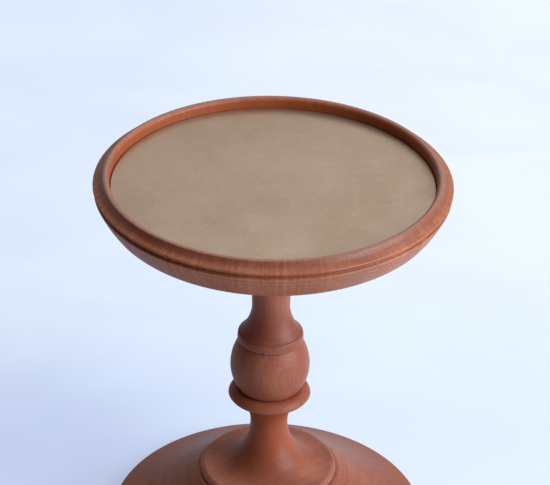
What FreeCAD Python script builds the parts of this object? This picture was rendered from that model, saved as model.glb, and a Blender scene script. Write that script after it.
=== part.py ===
"""Candle stand: a turned wooden pedestal with a brass plate let into its dished top.

Every piece is turned about one upright axis, so every piece is one outline spun about Z.
The origin is the middle of the flat face that the stand rests on, +Z is up, sizes are in millimetres.
"""
import FreeCAD, Part
import os

from FreeCAD import Vector

# Fits between the pieces
glue_gap = 0.1            # all round a tenon in its mortise
mortise_end_gap = 0.5     # past the end of a tenon
screw_gap = 0.1           # all round a screw in its hole
plate_gap = 0.35          # between the plate's edge and the wall of the dish

# Felt pad under the foot
felt_thickness = 1.2
felt_inset = 3.5          # in from the edge of the wooden underside

# Base, a disc that sweeps up in a shallow hollow curve to the seat of the stem
base_radius = 55.8
base_underside_inset = 1.0
base_edge_height = 2.4    # underside to the widest line
base_shoulder_rise = 3.0  # widest line to the start of the sweep
base_shoulder_inset = 2.2
base_sweep_rise = 17.5
base_crown_rise = 0.9     # rounded crown between the sweep and the flat seat of the stem
base_crown_width = 1.35
base_seat_margin = 0.7    # flat ring outside the stem's foot
base_edge_bulge_share = 0.17
base_shoulder_bulge_share = 0.16
base_sweep_bulge_share = 0.038
base_crown_bulge_share = 0.1

# Foot of the stem, a flared skirt with a rounded edge
foot_radius = 23.85
foot_undercut = 0.55      # the skirt curls in to its seat, which leaves a dark line round it
foot_undercut_height = 0.8
foot_edge_rise = 1.7
foot_edge_inset = 1.75
foot_dish_rise = 5.4      # the flat part of the flare
foot_dish_width = 11.2
foot_cove_rise = 12.3     # the steep part of the flare, up to the lower neck
foot_undercut_bulge_share = 0.15
foot_edge_bulge_share = 0.19
foot_dish_bulge_share = 0.109
foot_cove_bulge_share = 0.089

# Lower neck and the ring above it
neck_radius = 6.5
ring_radius = 14.33
ring_cove_rise = 10.4     # neck to the underside of the ring
ring_cove_width = 4.3
ring_under_rise = 1.5
ring_over_rise = 2.45
ring_over_inset = 3.88
ring_cove_bulge_share = 0.1
ring_under_bulge_share = 0.18
ring_over_bulge_share = 0.21

# Bulb
bulb_radius = 13.75
bulb_lower_rise = 9.4
bulb_upper_rise = 9.75
bulb_top_inset = 2.85
bulb_lower_bulge_share = 0.084
bulb_upper_bulge_share = 0.071

# Quirk and band on top of the bulb
quirk_depth = 0.35
quirk_rise = 0.25
band_radius = 11.38
band_under_inset = 0.3
band_under_rise = 0.25
band_edge_rise = 0.35
band_face_rise = 2.15
band_face_inset = 0.12    # the face leans in a little towards its top
band_shoulder_rise = 0.85
band_shoulder_inset = 0.83
band_edge_bulge_share = 0.1
band_face_bulge_share = 0.02
band_shoulder_bulge_share = 0.12

# Upper neck, which tapers out to the collar under the tray
upper_neck_radius = 6.53
upper_cove_rise = 9.3     # band to the narrowest line
upper_taper_rise = 24.0
upper_taper_width = 3.2
collar_flare_rise = 9.0
collar_flare_width = 7.3
collar_edge_rise = 1.3
collar_edge_width = 0.6
collar_top_inset = 0.4
collar_top_rise = 0.8
upper_cove_bulge_share = 0.077
upper_taper_bulge_share = 0.034
collar_flare_bulge_share = 0.104
collar_edge_bulge_share = 0.08
collar_top_bulge_share = 0.12

# Tenons at the two ends of the stem
foot_tenon_radius = 8.0
foot_tenon_length = 10.5
top_tenon_radius = 7.0
top_tenon_length = 6.5
tenon_chamfer = 0.6

# Tray, a dish with a moulded edge: a lower moulding, a groove and a rim
tray_radius = 60.0
tray_underside_inset = 12.0
moulding_lower_rise = 3.6
moulding_lower_width = 7.1
moulding_upper_rise = 7.75
moulding_inset = 0.38     # widest line of the rim in to the widest line of the lower moulding
moulding_top_rise = 0.45  # rounded top edge of the lower moulding
moulding_top_inset = 0.32
groove_depth = 0.6
groove_lower_rise = 0.4
groove_upper_rise = 1.0
rim_lip_inset = 0.6       # widest line in to the lower edge of the rim
rim_lip_rise = 0.45
rim_side_rise = 0.45
rim_side_inset = 0.35
rim_slope_rise = 2.5      # the rim's outer face, a hollow
rim_slope_width = 2.95
rim_crest_rise = 0.17
rim_crest_width = 0.7
rim_inner_width = 1.5
rim_inner_drop = 1.1
dish_depth = 5.02         # crest of the rim to the floor under the plate
moulding_lower_bulge_share = 0.1
moulding_upper_bulge_share = 0.028
moulding_top_bulge_share = 0.14
groove_bulge_share = 0.08
rim_lip_bulge_share = 0.12
rim_side_bulge_share = 0.12
rim_slope_bulge_share = 0.11
rim_crest_bulge_share = 0.06
rim_inner_bulge_share = 0.2

# Brass plate and the adhesive under it
adhesive_thickness = 0.2
adhesive_inset = 3.0      # in from the plate's edge
plate_thickness = 1.0
plate_edge_break = 0.15

# Countersunk wood screws
foot_screw_radius = 2.0
foot_screw_length = 35.0
tray_screw_radius = 1.75
tray_screw_length = 25.0
screw_head_ratio_share = 2.0          # head radius as a share of the thread radius
screw_head_land_share = 0.25          # height of the head's rim, as a share of the thread radius
screw_core_share = 0.66               # core radius as a share of the thread radius
screw_pitch_share = 0.9               # thread pitch as a share of the thread radius
screw_tip_share = 1.5                 # length of the point as a share of the thread radius
screw_plain_share = 0.3               # plain shank as a share of the length
screw_ridge_shares = (0.3, 0.5, 0.7)  # foot, crest and foot of one thread ridge within its pitch
recess_half_width_share = 0.21        # one bar of the cross recess, as a share of the thread radius
recess_half_length_share = 1.05
recess_depth_share = 1.1
screw_head_sink = 0.2                 # head below the surface of the wood
screw_end_gap = 1.0                   # hole past the screw's point

# Heights of the seats, from the face that the stand rests on
base_bottom = felt_thickness
base_height = base_edge_height + base_shoulder_rise + base_sweep_rise + base_crown_rise
stem_bottom = base_bottom + base_height


def spin(outline):
    """Spin a closed outline about Z and return the solid.

    outline is a list of (radius, height, bulge): each stretch runs from its own point to the next one,
    and the last runs back to the first. bulge is its sagitta as a share of its length, zero for a
    straight stretch. The outline runs counter-clockwise, radius to the right and height up, so a
    positive bulge swells outwards and a negative one is a hollow.
    """
    edges = []
    for place, (radius, height, bulge) in enumerate(outline):
        next_radius, next_height, _ = outline[(place + 1) % len(outline)]
        start = Vector(radius, 0, height)
        end = Vector(next_radius, 0, next_height)
        if bulge:
            chord = end - start
            middle = (start + end) * 0.5 + Vector(chord.z, 0, -chord.x) * bulge
            edges.append(Part.Arc(start, middle, end).toShape())
        else:
            edges.append(Part.LineSegment(start, end).toShape())
    face = Part.Face(Part.Wire(edges))
    return face.revolve(Vector(0, 0, 0), Vector(0, 0, 1), 360)


def climb(start_height, steps):
    """Turn (radius, rise, bulge) steps into outline points, each rise counted from the point before."""
    points = []
    height = start_height
    for radius, rise, bulge in steps:
        height += rise
        points.append((radius, height, bulge))
    return points


def stem_outline_steps():
    """The stem's side from the seat of its foot up to its top shoulder, as (radius, rise, bulge)."""
    foot_edge_radius = foot_radius - foot_edge_inset
    bulb_bottom_radius = ring_radius - ring_over_inset
    bulb_top_radius = bulb_radius - bulb_top_inset
    band_top_radius = band_radius - band_face_inset
    taper_radius = upper_neck_radius + upper_taper_width
    flare_radius = taper_radius + collar_flare_width
    collar_radius = flare_radius + collar_edge_width
    return [
        (foot_radius - foot_undercut, 0, foot_undercut_bulge_share),
        (foot_radius, foot_undercut_height, foot_edge_bulge_share),
        (foot_edge_radius, foot_edge_rise, -foot_dish_bulge_share),
        (foot_edge_radius - foot_dish_width, foot_dish_rise, -foot_cove_bulge_share),
        (neck_radius, foot_cove_rise, -ring_cove_bulge_share),
        (neck_radius + ring_cove_width, ring_cove_rise, ring_under_bulge_share),
        (ring_radius, ring_under_rise, ring_over_bulge_share),
        (bulb_bottom_radius, ring_over_rise, bulb_lower_bulge_share),
        (bulb_radius, bulb_lower_rise, bulb_upper_bulge_share),
        (bulb_top_radius, bulb_upper_rise, 0),
        (bulb_top_radius - quirk_depth, quirk_rise, 0),
        (band_radius - band_under_inset, band_under_rise, band_edge_bulge_share),
        (band_radius, band_edge_rise, band_face_bulge_share),
        (band_top_radius, band_face_rise, band_shoulder_bulge_share),
        (band_top_radius - band_shoulder_inset, band_shoulder_rise, -upper_cove_bulge_share),
        (upper_neck_radius, upper_cove_rise, -upper_taper_bulge_share),
        (taper_radius, upper_taper_rise, -collar_flare_bulge_share),
        (flare_radius, collar_flare_rise, collar_edge_bulge_share),
        (collar_radius, collar_edge_rise, collar_top_bulge_share),
        (collar_radius - collar_top_inset, collar_top_rise, 0),
    ]


stem_side = climb(stem_bottom, stem_outline_steps())
tray_bottom = stem_side[-1][1]

# Places of the two screws: each is given by the height of the flat top of its head
foot_head_face = base_bottom + screw_head_sink
tray_height = (moulding_lower_rise + moulding_upper_rise + moulding_top_rise
               + groove_lower_rise + groove_upper_rise
               + rim_lip_rise + rim_side_rise + rim_slope_rise + rim_crest_rise)
dish_floor = tray_bottom + tray_height - dish_depth
tray_head_face = dish_floor - screw_head_sink


def screw_head_radius(radius):
    """Radius of a countersunk head for a thread of this radius."""
    return radius * screw_head_ratio_share


def screw_cone_height(radius):
    """Height of the head's 90 degree cone, from its rim down to the shank."""
    return screw_head_radius(radius) - radius


def wood_screw(radius, length):
    """A countersunk wood screw, point down, with the flat of its head at height zero."""
    core = radius * screw_core_share
    land = radius * screw_head_land_share
    tip = radius * screw_tip_share
    pitch = radius * screw_pitch_share
    shank_end = -length * screw_plain_share
    thread_end = -(length - tip)
    count = int((shank_end - thread_end) / pitch)
    step = (shank_end - thread_end) / count
    ridge_start, ridge_crest, ridge_end = screw_ridge_shares
    outline = [(0, -length, 0), (core, thread_end, 0)]
    for turn in range(count):
        foot = thread_end + turn * step
        outline += [
            (core, foot + step * ridge_start, 0),
            (radius, foot + step * ridge_crest, 0),
            (core, foot + step * ridge_end, 0),
        ]
    outline += [
        (core, shank_end, 0),
        (radius, shank_end + (radius - core), 0),
        (radius, -land - screw_cone_height(radius), 0),
        (screw_head_radius(radius), -land, 0),
        (screw_head_radius(radius), 0, 0),
        (0, 0, 0),
    ]
    screw = spin(outline)
    recess_corner = radius * recess_half_width_share
    recess_end = radius * recess_half_length_share
    recess_floor = -radius * recess_depth_share
    for across, along in ((recess_corner, recess_end), (recess_end, recess_corner)):
        corners = [(-across, -along), (across, -along), (across, along), (-across, along), (-across, -along)]
        outline = Part.makePolygon([Vector(x, y, recess_floor) for x, y in corners])
        screw = screw.cut(Part.Face(outline).extrude(Vector(0, 0, radius - recess_floor)))
    return screw


def countersink(radius, face, down, far):
    """Outline points of a countersunk hole, from the wood's face to its far end.

    face is the height of the wood's surface, far is the height of the hole's other end, and down is
    -1 where the screw points down or 1 where it points up. The points run from the face inwards.
    """
    hole = radius + screw_gap
    head = screw_head_radius(radius) + screw_gap
    rim = face + down * (screw_head_sink + radius * screw_head_land_share)
    neck = rim + down * screw_cone_height(radius)
    return [(head, face, 0), (head, rim, 0), (hole, neck, 0), (hole, far, 0)]


def felt_pad():
    """The pad glued under the base, which covers the screw."""
    radius = base_radius - base_underside_inset - felt_inset
    return Part.makeCylinder(radius, felt_thickness)


def base():
    """The swept disc, with a mortise for the stem's foot and a countersunk hole from below."""
    mortise_radius = foot_tenon_radius + glue_gap
    mortise_floor = stem_bottom - foot_tenon_length - mortise_end_gap
    shoulder_radius = base_radius - base_shoulder_inset
    seat_radius = foot_radius + base_seat_margin
    side = climb(base_bottom, [
        (base_radius - base_underside_inset, 0, base_edge_bulge_share),
        (base_radius, base_edge_height, base_shoulder_bulge_share),
        (shoulder_radius, base_shoulder_rise, -base_sweep_bulge_share),
        (seat_radius + base_crown_width, base_sweep_rise, base_crown_bulge_share),
        (seat_radius, base_crown_rise, 0),
    ])
    socket = [(mortise_radius, stem_bottom, 0), (mortise_radius, mortise_floor, 0)]
    hole = countersink(foot_screw_radius, base_bottom, 1, mortise_floor)
    return spin(side + socket + hole[::-1])


def stem():
    """The baluster: foot, neck, ring, bulb, band, upper neck and collar, with a tenon at each end."""
    foot_end = stem_bottom - foot_tenon_length
    top_end = tray_bottom + top_tenon_length
    foot_hole_radius = foot_screw_radius + screw_gap
    foot_hole_end = foot_head_face + foot_screw_length + screw_end_gap
    tray_hole_radius = tray_screw_radius + screw_gap
    tray_hole_end = tray_head_face - tray_screw_length - screw_end_gap
    lower = [
        (0, foot_hole_end, 0),
        (foot_hole_radius, foot_hole_end, 0),
        (foot_hole_radius, foot_end, 0),
        (foot_tenon_radius - tenon_chamfer, foot_end, 0),
        (foot_tenon_radius, foot_end + tenon_chamfer, 0),
        (foot_tenon_radius, stem_bottom, 0),
    ]
    upper = [
        (top_tenon_radius, tray_bottom, 0),
        (top_tenon_radius, top_end - tenon_chamfer, 0),
        (top_tenon_radius - tenon_chamfer, top_end, 0),
        (tray_hole_radius, top_end, 0),
        (tray_hole_radius, tray_hole_end, 0),
        (0, tray_hole_end, 0),
    ]
    return spin(lower + stem_side + upper)


def tray():
    """The dish: flat underside with a mortise, moulded edge, rim, and a recess for the plate."""
    mortise_radius = top_tenon_radius + glue_gap
    mortise_roof = tray_bottom + top_tenon_length + mortise_end_gap
    underside_radius = tray_radius - tray_underside_inset
    moulding_radius = tray_radius - moulding_inset
    moulding_top_radius = moulding_radius - moulding_top_inset
    slope_radius = tray_radius - rim_side_inset
    crest_start_radius = slope_radius - rim_slope_width
    crest_radius = crest_start_radius - rim_crest_width
    wall_radius = crest_radius - rim_inner_width
    side = climb(tray_bottom, [
        (underside_radius, 0, moulding_lower_bulge_share),
        (underside_radius + moulding_lower_width, moulding_lower_rise, moulding_upper_bulge_share),
        (moulding_radius, moulding_upper_rise, moulding_top_bulge_share),
        (moulding_top_radius, moulding_top_rise, -groove_bulge_share),
        (moulding_top_radius - groove_depth, groove_lower_rise, -groove_bulge_share),
        (tray_radius - rim_lip_inset, groove_upper_rise, rim_lip_bulge_share),
        (tray_radius, rim_lip_rise, rim_side_bulge_share),
        (slope_radius, rim_side_rise, -rim_slope_bulge_share),
        (crest_start_radius, rim_slope_rise, rim_crest_bulge_share),
        (crest_radius, rim_crest_rise, rim_inner_bulge_share),
        (wall_radius, -rim_inner_drop, 0),
    ])
    floor = [(wall_radius, dish_floor, 0)]
    hole = countersink(tray_screw_radius, dish_floor, -1, mortise_roof)
    socket = [(mortise_radius, mortise_roof, 0), (mortise_radius, tray_bottom, 0)]
    return spin(side + floor + hole + socket)


def dish_wall_radius():
    """Radius of the wall that the plate lies within."""
    rim_width = rim_side_inset + rim_slope_width + rim_crest_width + rim_inner_width
    return tray_radius - rim_width


def plate():
    """The brass disc, with its top edge just broken."""
    radius = dish_wall_radius() - plate_gap
    bottom = dish_floor + adhesive_thickness
    top = bottom + plate_thickness
    return spin([
        (0, bottom, 0),
        (radius, bottom, 0),
        (radius, top - plate_edge_break, 0),
        (radius - plate_edge_break, top, 0),
        (0, top, 0),
    ])


def adhesive():
    """The thin film that holds the plate to the floor of the dish."""
    radius = dish_wall_radius() - plate_gap - adhesive_inset
    return Part.makeCylinder(radius, adhesive_thickness, Vector(0, 0, dish_floor))


def foot_screw():
    """The screw that comes up through the base into the stem."""
    screw = wood_screw(foot_screw_radius, foot_screw_length)
    screw.rotate(Vector(0, 0, 0), Vector(1, 0, 0), 180)
    screw.translate(Vector(0, 0, foot_head_face))
    return screw


def tray_screw():
    """The screw under the plate that goes down through the dish into the stem."""
    screw = wood_screw(tray_screw_radius, tray_screw_length)
    screw.translate(Vector(0, 0, tray_head_face))
    return screw


pieces = {
    "base_felt": felt_pad,
    "base_disc": base,
    "base_screw": foot_screw,
    "stem": stem,
    "top_tray": tray,
    "tray_screw": tray_screw,
    "plate_adhesive": adhesive,
    "brass_plate": plate,
}

os.makedirs("parts", exist_ok=True)
for node, make in pieces.items():
    solid = make()
    solid.exportStep("parts/" + node + ".step")
    box = solid.BoundBox
    print("%-16s solids %d valid %s volume %.1f mm3, z %.2f to %.2f, radius %.2f" % (
        node, len(solid.Solids), solid.isValid(), solid.Volume, box.ZMin, box.ZMax, box.XMax))
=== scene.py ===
"""Dressed model of a turned wooden candle stand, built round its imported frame.

Sizes in the classes are millimetres, as on a workshop drawing, and become metres when a mesh is made.
Every turned piece is one outline spun about the upright axis, so most of the work is in the outlines,
in the marks that turning, sanding, oiling and use leave on them, and in the finishes.
"""
import logging
import math
from dataclasses import dataclass
from enum import Enum
from typing import Callable

import bmesh
import bpy
from mathutils import Matrix, Vector, noise


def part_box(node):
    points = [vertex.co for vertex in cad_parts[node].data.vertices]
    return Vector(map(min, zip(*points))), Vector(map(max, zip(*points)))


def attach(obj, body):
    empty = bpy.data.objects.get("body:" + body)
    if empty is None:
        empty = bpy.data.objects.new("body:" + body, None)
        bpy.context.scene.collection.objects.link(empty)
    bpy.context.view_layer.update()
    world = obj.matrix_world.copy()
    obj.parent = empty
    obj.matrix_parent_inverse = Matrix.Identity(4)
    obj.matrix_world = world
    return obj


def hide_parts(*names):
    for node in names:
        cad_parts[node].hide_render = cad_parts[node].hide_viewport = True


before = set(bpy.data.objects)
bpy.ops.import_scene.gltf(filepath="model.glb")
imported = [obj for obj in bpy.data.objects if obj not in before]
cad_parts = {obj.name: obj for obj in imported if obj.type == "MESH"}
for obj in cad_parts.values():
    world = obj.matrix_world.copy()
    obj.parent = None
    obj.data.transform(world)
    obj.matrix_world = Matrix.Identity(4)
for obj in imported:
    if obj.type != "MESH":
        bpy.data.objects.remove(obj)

LOG = logging.getLogger("candle_stand")
MM = 0.001                       # metres in a millimetre
SEAM = 1e-7                      # metres within which seams and poles are closed
ROOT = "root"                    # the one body that everything rides on
BOUNCE_LIGHT_WOOD = "#9A4418"           # painted bounce light: a saturated orange for warm light bounced between wood faces
PAINTED_SHADE_WOOD = "#5A2416"         # painted shade: a darker tone for shade under overhangs and in hollows
REDDER_DARKER_WOOD = "#7E3A1A"            # a redder, darker tone
WORN_AND_SHEEN_WOOD = "#A2877B"            # paler and greyer: an edge rubbed dry, with a painted sheen on it
NO_TURN = (0.0, 0.0, 0.0)

Step = tuple[float, float, float]        # radius, height, bulge of the stretch that leaves the point
Sample = tuple[float, float, float, float, float]   # radius, height, station, wear, wax (old wax with painted crease shade)
Row = tuple[str, float, float, float]    # name of a point, its radius, rise and bulge
Triple = tuple[float, float, float]
Socket = bpy.types.NodeSocket
Material = bpy.types.Material
Piece = bpy.types.Object


class Grain(Enum):
    """Which way the fibres of a piece of wood run, and the turn in degrees that brings them onto Z."""

    UPRIGHT = NO_TURN                    # as in a spindle
    ACROSS = (0.0, 90.0, 0.0)            # along X, as in a disc cut from a board


class Slot(Enum):
    """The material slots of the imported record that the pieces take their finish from."""

    WOOD = "wood"
    BRASS = "brass"
    STEEL = "steel"
    FELT = "felt"


def linear(hex_colour: str) -> tuple[float, float, float, float]:
    """Turn an sRGB hex colour into linear red, green and blue, with an alpha of one.

    Args:
        hex_colour: Six hex digits after a hash sign.

    Returns:
        The four values.
    """
    values = []
    for start in (1, 3, 5):
        part = int(hex_colour[start:start + 2], 16) / 255
        values.append(part / 12.92 if part <= 0.04045 else ((part + 0.055) / 1.055) ** 2.4)
    return values[0], values[1], values[2], 1.0


def add_node(tree: bpy.types.NodeTree, kind: str, inputs: dict | None = None, **settings) -> bpy.types.Node:
    """Add one node with its settings, values and links.

    Args:
        tree: Tree that gets the node.
        kind: Blender's type name of the node.
        inputs: Socket name or number to its value, or to the output socket that feeds it.
        **settings: Properties of the node itself.

    Returns:
        The new node.
    """
    node = tree.nodes.new(kind)
    for name, value in settings.items():
        setattr(node, name, value)
    for socket, value in (inputs or {}).items():
        if isinstance(value, Socket):
            tree.links.new(value, node.inputs[socket])
        else:
            node.inputs[socket].default_value = value
    return node


def new_object(name: str, data: bpy.types.ID) -> Piece:
    """Make an object from a mesh, camera or light and link it to the scene."""
    made = bpy.data.objects.new(name, data)
    bpy.context.collection.objects.link(made)
    return made


def new_mesh(name: str, work: bmesh.types.BMesh) -> bpy.types.Mesh:
    """Point every face of a worked shape outwards and return it as a mesh."""
    bmesh.ops.recalc_face_normals(work, faces=work.faces)
    mesh = bpy.data.meshes.new(name)
    work.to_mesh(mesh)
    work.free()
    return mesh


class Bench:
    """A node tree, with short names for the nodes that are used over and over."""

    def __init__(self, tree: bpy.types.NodeTree) -> None:
        """Keep the tree."""
        self.tree = tree

    def node(self, kind: str, inputs: dict | None = None, **settings) -> bpy.types.Node:
        """Add a node and return it."""
        return add_node(self.tree, kind, inputs, **settings)

    def add(self, kind: str, inputs: dict | None = None, out: int | str = 0, **settings) -> Socket:
        """Add a node and return one of its outputs."""
        return self.node(kind, inputs, **settings).outputs[out]

    def math(self, operation: str, first: Socket | float, second: Socket | float = 0.0, **settings) -> Socket:
        """Return a simple operation on one or two values."""
        return self.add("ShaderNodeMath", {0: first, 1: second}, operation=operation, **settings)

    def times(self, first: Socket | float, second: Socket | float) -> Socket:
        """Return a product."""
        return self.math("MULTIPLY", first, second)

    def plus(self, first: Socket | float, *others: Socket | float) -> Socket:
        """Return a sum of any number of values."""
        for other in others:
            first = self.math("ADD", first, other)
        return first

    def minus(self, first: Socket | float, *others: Socket | float) -> Socket:
        """Return a value less any number of others."""
        for other in others:
            first = self.math("SUBTRACT", first, other)
        return first

    def vector(self, operation: str, first: Socket, second: Triple = NO_TURN, scale: float = 1.0,
               out: int | str = 0) -> Socket:
        """Return a simple operation on places."""
        return self.add("ShaderNodeVectorMath", {0: first, 1: second, 3: scale}, out, operation=operation)

    def apart(self, place: Socket) -> bpy.types.NodeOutputs:
        """Return a place's X, Y and Z."""
        return self.node("ShaderNodeSeparateXYZ", {0: place}).outputs

    def joined(self, x: Socket | float, y: Socket | float, z: Socket | float) -> Socket:
        """Return the place with the given X, Y and Z."""
        return self.add("ShaderNodeCombineXYZ", {0: x, 1: y, 2: z})

    def round_axis(self, radius: Socket, angle: Socket, height: Socket) -> Socket:
        """Return the place at a radius, angle and height round the upright axis."""
        return self.joined(self.times(radius, self.math("COSINE", angle)),
                           self.times(radius, self.math("SINE", angle)), height)

    def here(self) -> Socket:
        """Return the place on the piece in millimetres."""
        return self.vector("SCALE", self.add("ShaderNodeTexCoord", out="Object"), scale=1 / MM)

    def mapped(self, place: Socket, scale: Triple = (1.0, 1.0, 1.0), turn: Triple = NO_TURN,
               shift: Triple = NO_TURN) -> Socket:
        """Return a place scaled, turned by degrees about the axes and moved."""
        return self.add("ShaderNodeMapping", {
            "Vector": place, "Location": shift, "Rotation": [math.radians(angle) for angle in turn],
            "Scale": scale}, vector_type="POINT")

    def repeated(self, place: Socket, *sizes: float, turn: float = 0.0) -> Socket:
        """Return a place in units of a size, or of one for each axis, turned by degrees about Z."""
        sizes = sizes if len(sizes) == 3 else sizes * 3
        return self.mapped(place, tuple(1 / size if size else 0.0 for size in sizes), (0.0, 0.0, turn))

    def cloud(self, place: Socket, detail: float, roughness: float = 0.5, distortion: float = 0.0,
              **settings) -> Socket:
        """Return soft noise whose lumps are about one unit across."""
        return self.add("ShaderNodeTexNoise", {
            "Vector": place, "Scale": 1.0, "Detail": detail, "Roughness": roughness,
            "Distortion": distortion}, **settings)

    def cells(self, place: Socket, **settings) -> tuple[Socket, Socket]:
        """Scatter spots one unit apart, and return the distance to the nearest and its own chance."""
        spots = self.node("ShaderNodeTexVoronoi", {"Vector": place, "Scale": 1.0}, **settings).outputs
        return spots["Distance"], self.add("ShaderNodeSeparateColor", {0: spots["Color"]})

    def fade(self, value: Socket, start: float, end: float, low: float = 0.0, high: float = 1.0) -> Socket:
        """Return a smooth ramp from low to high as the value goes from start to end."""
        return self.add("ShaderNodeMapRange", {
            "Value": value, "From Min": start, "From Max": end, "To Min": low, "To Max": high},
            interpolation_type="SMOOTHSTEP")

    def blend(self, factor: Socket | float, first: Socket | str, second: Socket | str) -> Socket:
        """Return two colours, which may be hex, mixed by a factor."""
        first, second = (linear(colour) if isinstance(colour, str) else colour for colour in (first, second))
        return self.add("ShaderNodeMix", {0: factor, 6: first, 7: second}, 2, data_type="RGBA",
                        clamp_factor=True)

    def choice(self, factor: Socket, first: Socket | float, second: Socket | float) -> Socket:
        """Return two values mixed by a factor."""
        return self.add("ShaderNodeMix", {0: factor, 2: first, 3: second})

    def mark(self, name: str) -> Socket:
        """Return one of the marks that the lathe leaves on a turned mesh."""
        return self.add("ShaderNodeAttribute", out="Fac", attribute_name=name)

    def bump(self, height: Socket, strength: float, depth: float) -> Socket:
        """Return the normal of a relief whose depth is in millimetres."""
        return self.add("ShaderNodeBump", {"Height": height, "Strength": strength, "Distance": depth * MM})

    def rays(self) -> bpy.types.NodeOutputs:
        """Return what kind of ray meets the surface."""
        return self.node("ShaderNodeLightPath").outputs


class ShapeTree(Bench):
    """A geometry node tree with named inputs, one of them the finish, that makes one kind of shape."""

    def __init__(self, name: str, inputs: dict[str, str]) -> None:
        """Make the tree and its sockets.

        Args:
            name: Name of the tree.
            inputs: Name of each input to the kind of its socket.
        """
        super().__init__(bpy.data.node_groups.new(name, "GeometryNodeTree"))
        sockets = self.tree.interface
        sockets.new_socket(name="Shape", in_out="OUTPUT", socket_type="NodeSocketGeometry")
        self.identifiers = {
            title: sockets.new_socket(name=title, in_out="INPUT", socket_type="NodeSocket" + kind).identifier
            for title, kind in inputs.items()}
        self.entry = self.node("NodeGroupInput").outputs

    def close(self, shape: Socket) -> None:
        """Make the shape real, give it its finish and lead it out."""
        real = self.add("GeometryNodeRealizeInstances", {0: shape})
        dressed = self.add("GeometryNodeSetMaterial", {"Geometry": real, "Material": self.entry["Finish"]})
        self.node("NodeGroupOutput", {0: dressed})

    def make(self, blank: Piece, name: str, values: dict[str, object]) -> Piece:
        """Shape a blank.

        Args:
            blank: Object that the tree works on. It is used up.
            name: Name of the new piece.
            values: Name of each input to its value.

        Returns:
            The plain piece.
        """
        live = blank.modifiers.new(self.tree.name, "NODES")
        live.node_group = self.tree
        for title, value in values.items():
            live[self.identifiers[title]] = value
        return settle(blank, name)


def settle(source: Piece, name: str) -> Piece:
    """Turn an object with live modifiers into a plain mesh piece, and drop the source.

    Args:
        source: Object whose evaluated mesh is wanted.
        name: Name of the new piece.

    Returns:
        The piece, linked to the scene, without doubled corners, its faces pointing outwards.
    """
    bpy.context.view_layer.update()
    graph = bpy.context.evaluated_depsgraph_get()
    mesh = bpy.data.meshes.new_from_object(source.evaluated_get(graph), depsgraph=graph)
    mesh.name = name
    bpy.data.objects.remove(source, do_unlink=True)
    work = bmesh.new()
    work.from_mesh(mesh)
    bmesh.ops.remove_doubles(work, verts=work.verts, dist=SEAM)
    bmesh.ops.dissolve_degenerate(work, edges=work.edges, dist=SEAM)
    bmesh.ops.recalc_face_normals(work, faces=work.faces)
    work.to_mesh(mesh)
    work.free()
    return new_object(name, mesh)


def move_vertices(piece: Piece, shift: Callable[[Vector], Vector]) -> None:
    """Move each vertex of a piece by what a rule says for its place, both in millimetres."""
    for vertex in piece.data.vertices:
        vertex.co += shift(vertex.co / MM) * MM
    piece.data.update()


def seat(piece: Piece, node: str) -> None:
    """Put a finished piece into the frame and report it.

    Args:
        piece: The finished piece.
        node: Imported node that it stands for.
    """
    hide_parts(node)
    low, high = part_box(node)
    places = [vertex.co for vertex in piece.data.vertices]
    reach = max(max(abs(max(co[axis] for co in places) - high[axis]),
                    abs(min(co[axis] for co in places) - low[axis])) for axis in range(3))
    LOG.info("%s: %d faces, within %.3f mm of %s", piece.name, len(piece.data.polygons), reach / MM, node)
    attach(piece, ROOT)


def dress(node: Piece, finish: Material) -> None:
    """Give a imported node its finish, with its mesh left as it is."""
    node.data.materials.clear()
    node.data.materials.append(finish)
    LOG.info("%s: keeps its packed shape", node.name)


# Outlines: from the steps of a drawing to the samples of a mesh


@dataclass(frozen=True)
class Tracing:
    """How finely an outline is traced, and how far hand sanding rounds its corners."""

    arc_step: float = 0.42           # longest piece of a curved stretch
    arc_turn_deg: float = 7.0        # most that a curved stretch turns in one piece
    easing: float = 0.14             # length that sanding takes off each side of a sharp corner
    easing_share: float = 0.42       # most of a short stretch that an eased corner may take
    corner_deg: float = 13.0         # a joint that turns less isn't a corner
    full_corner_deg: float = 75.0    # a joint that turns this much wears and fills fully
    wear_reach: float = 0.5          # how far wear spreads from an outer corner
    crease_wax_and_shade_reach: float = 0.7           # how far the wax mark spreads from an inner corner: old wax with painted crease shade


def climb(height: float, rows: tuple[Row, ...]) -> list[Step]:
    """Turn rows of name, radius, rise and bulge into outline points, from a starting height."""
    points = []
    for _, radius, rise, bulge in rows:
        height += rise
        points.append((radius, height, bulge))
    return points


def stretch_points(start: Vector, end: Vector, bulge: float, tracing: Tracing) -> list[Vector]:
    """Trace one stretch of an outline.

    Args:
        start: First point, as radius and height.
        end: Last point.
        bulge: Sagitta as a share of the chord, positive where the stretch swells outwards.
        tracing: How finely to trace.

    Returns:
        Points from the start up to, but without, the end.
    """
    if not bulge:
        return [start]
    chord = end - start
    half_turn = 2 * math.atan(2 * abs(bulge))
    radius = chord.length / (2 * math.sin(half_turn))
    out = Vector((chord.y, -chord.x)).normalized() * math.copysign(1.0, bulge)
    centre = (start + end) / 2 - out * radius * math.cos(half_turn)
    pieces = max(2, math.ceil(2 * half_turn / math.radians(tracing.arc_turn_deg)),
                 math.ceil(2 * half_turn * radius / tracing.arc_step))
    turn = math.copysign(2 * half_turn, bulge)
    return [centre + Matrix.Rotation(turn * piece / pieces, 2) @ (start - centre) for piece in range(pieces)]


def ease_corner(before: Vector, corner: Vector, after: Vector, tracing: Tracing) -> list[Vector]:
    """Round one sharp corner, between the points before and after it, as sandpaper does."""
    ends = []
    for there in (before, after):
        arm = there - corner
        reach = min(tracing.easing, arm.length * tracing.easing_share)
        ends.append(corner + arm.normalized() * reach)
    return [ends[0], (ends[0] + ends[1]) / 4 + corner / 2, ends[1]]


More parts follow.
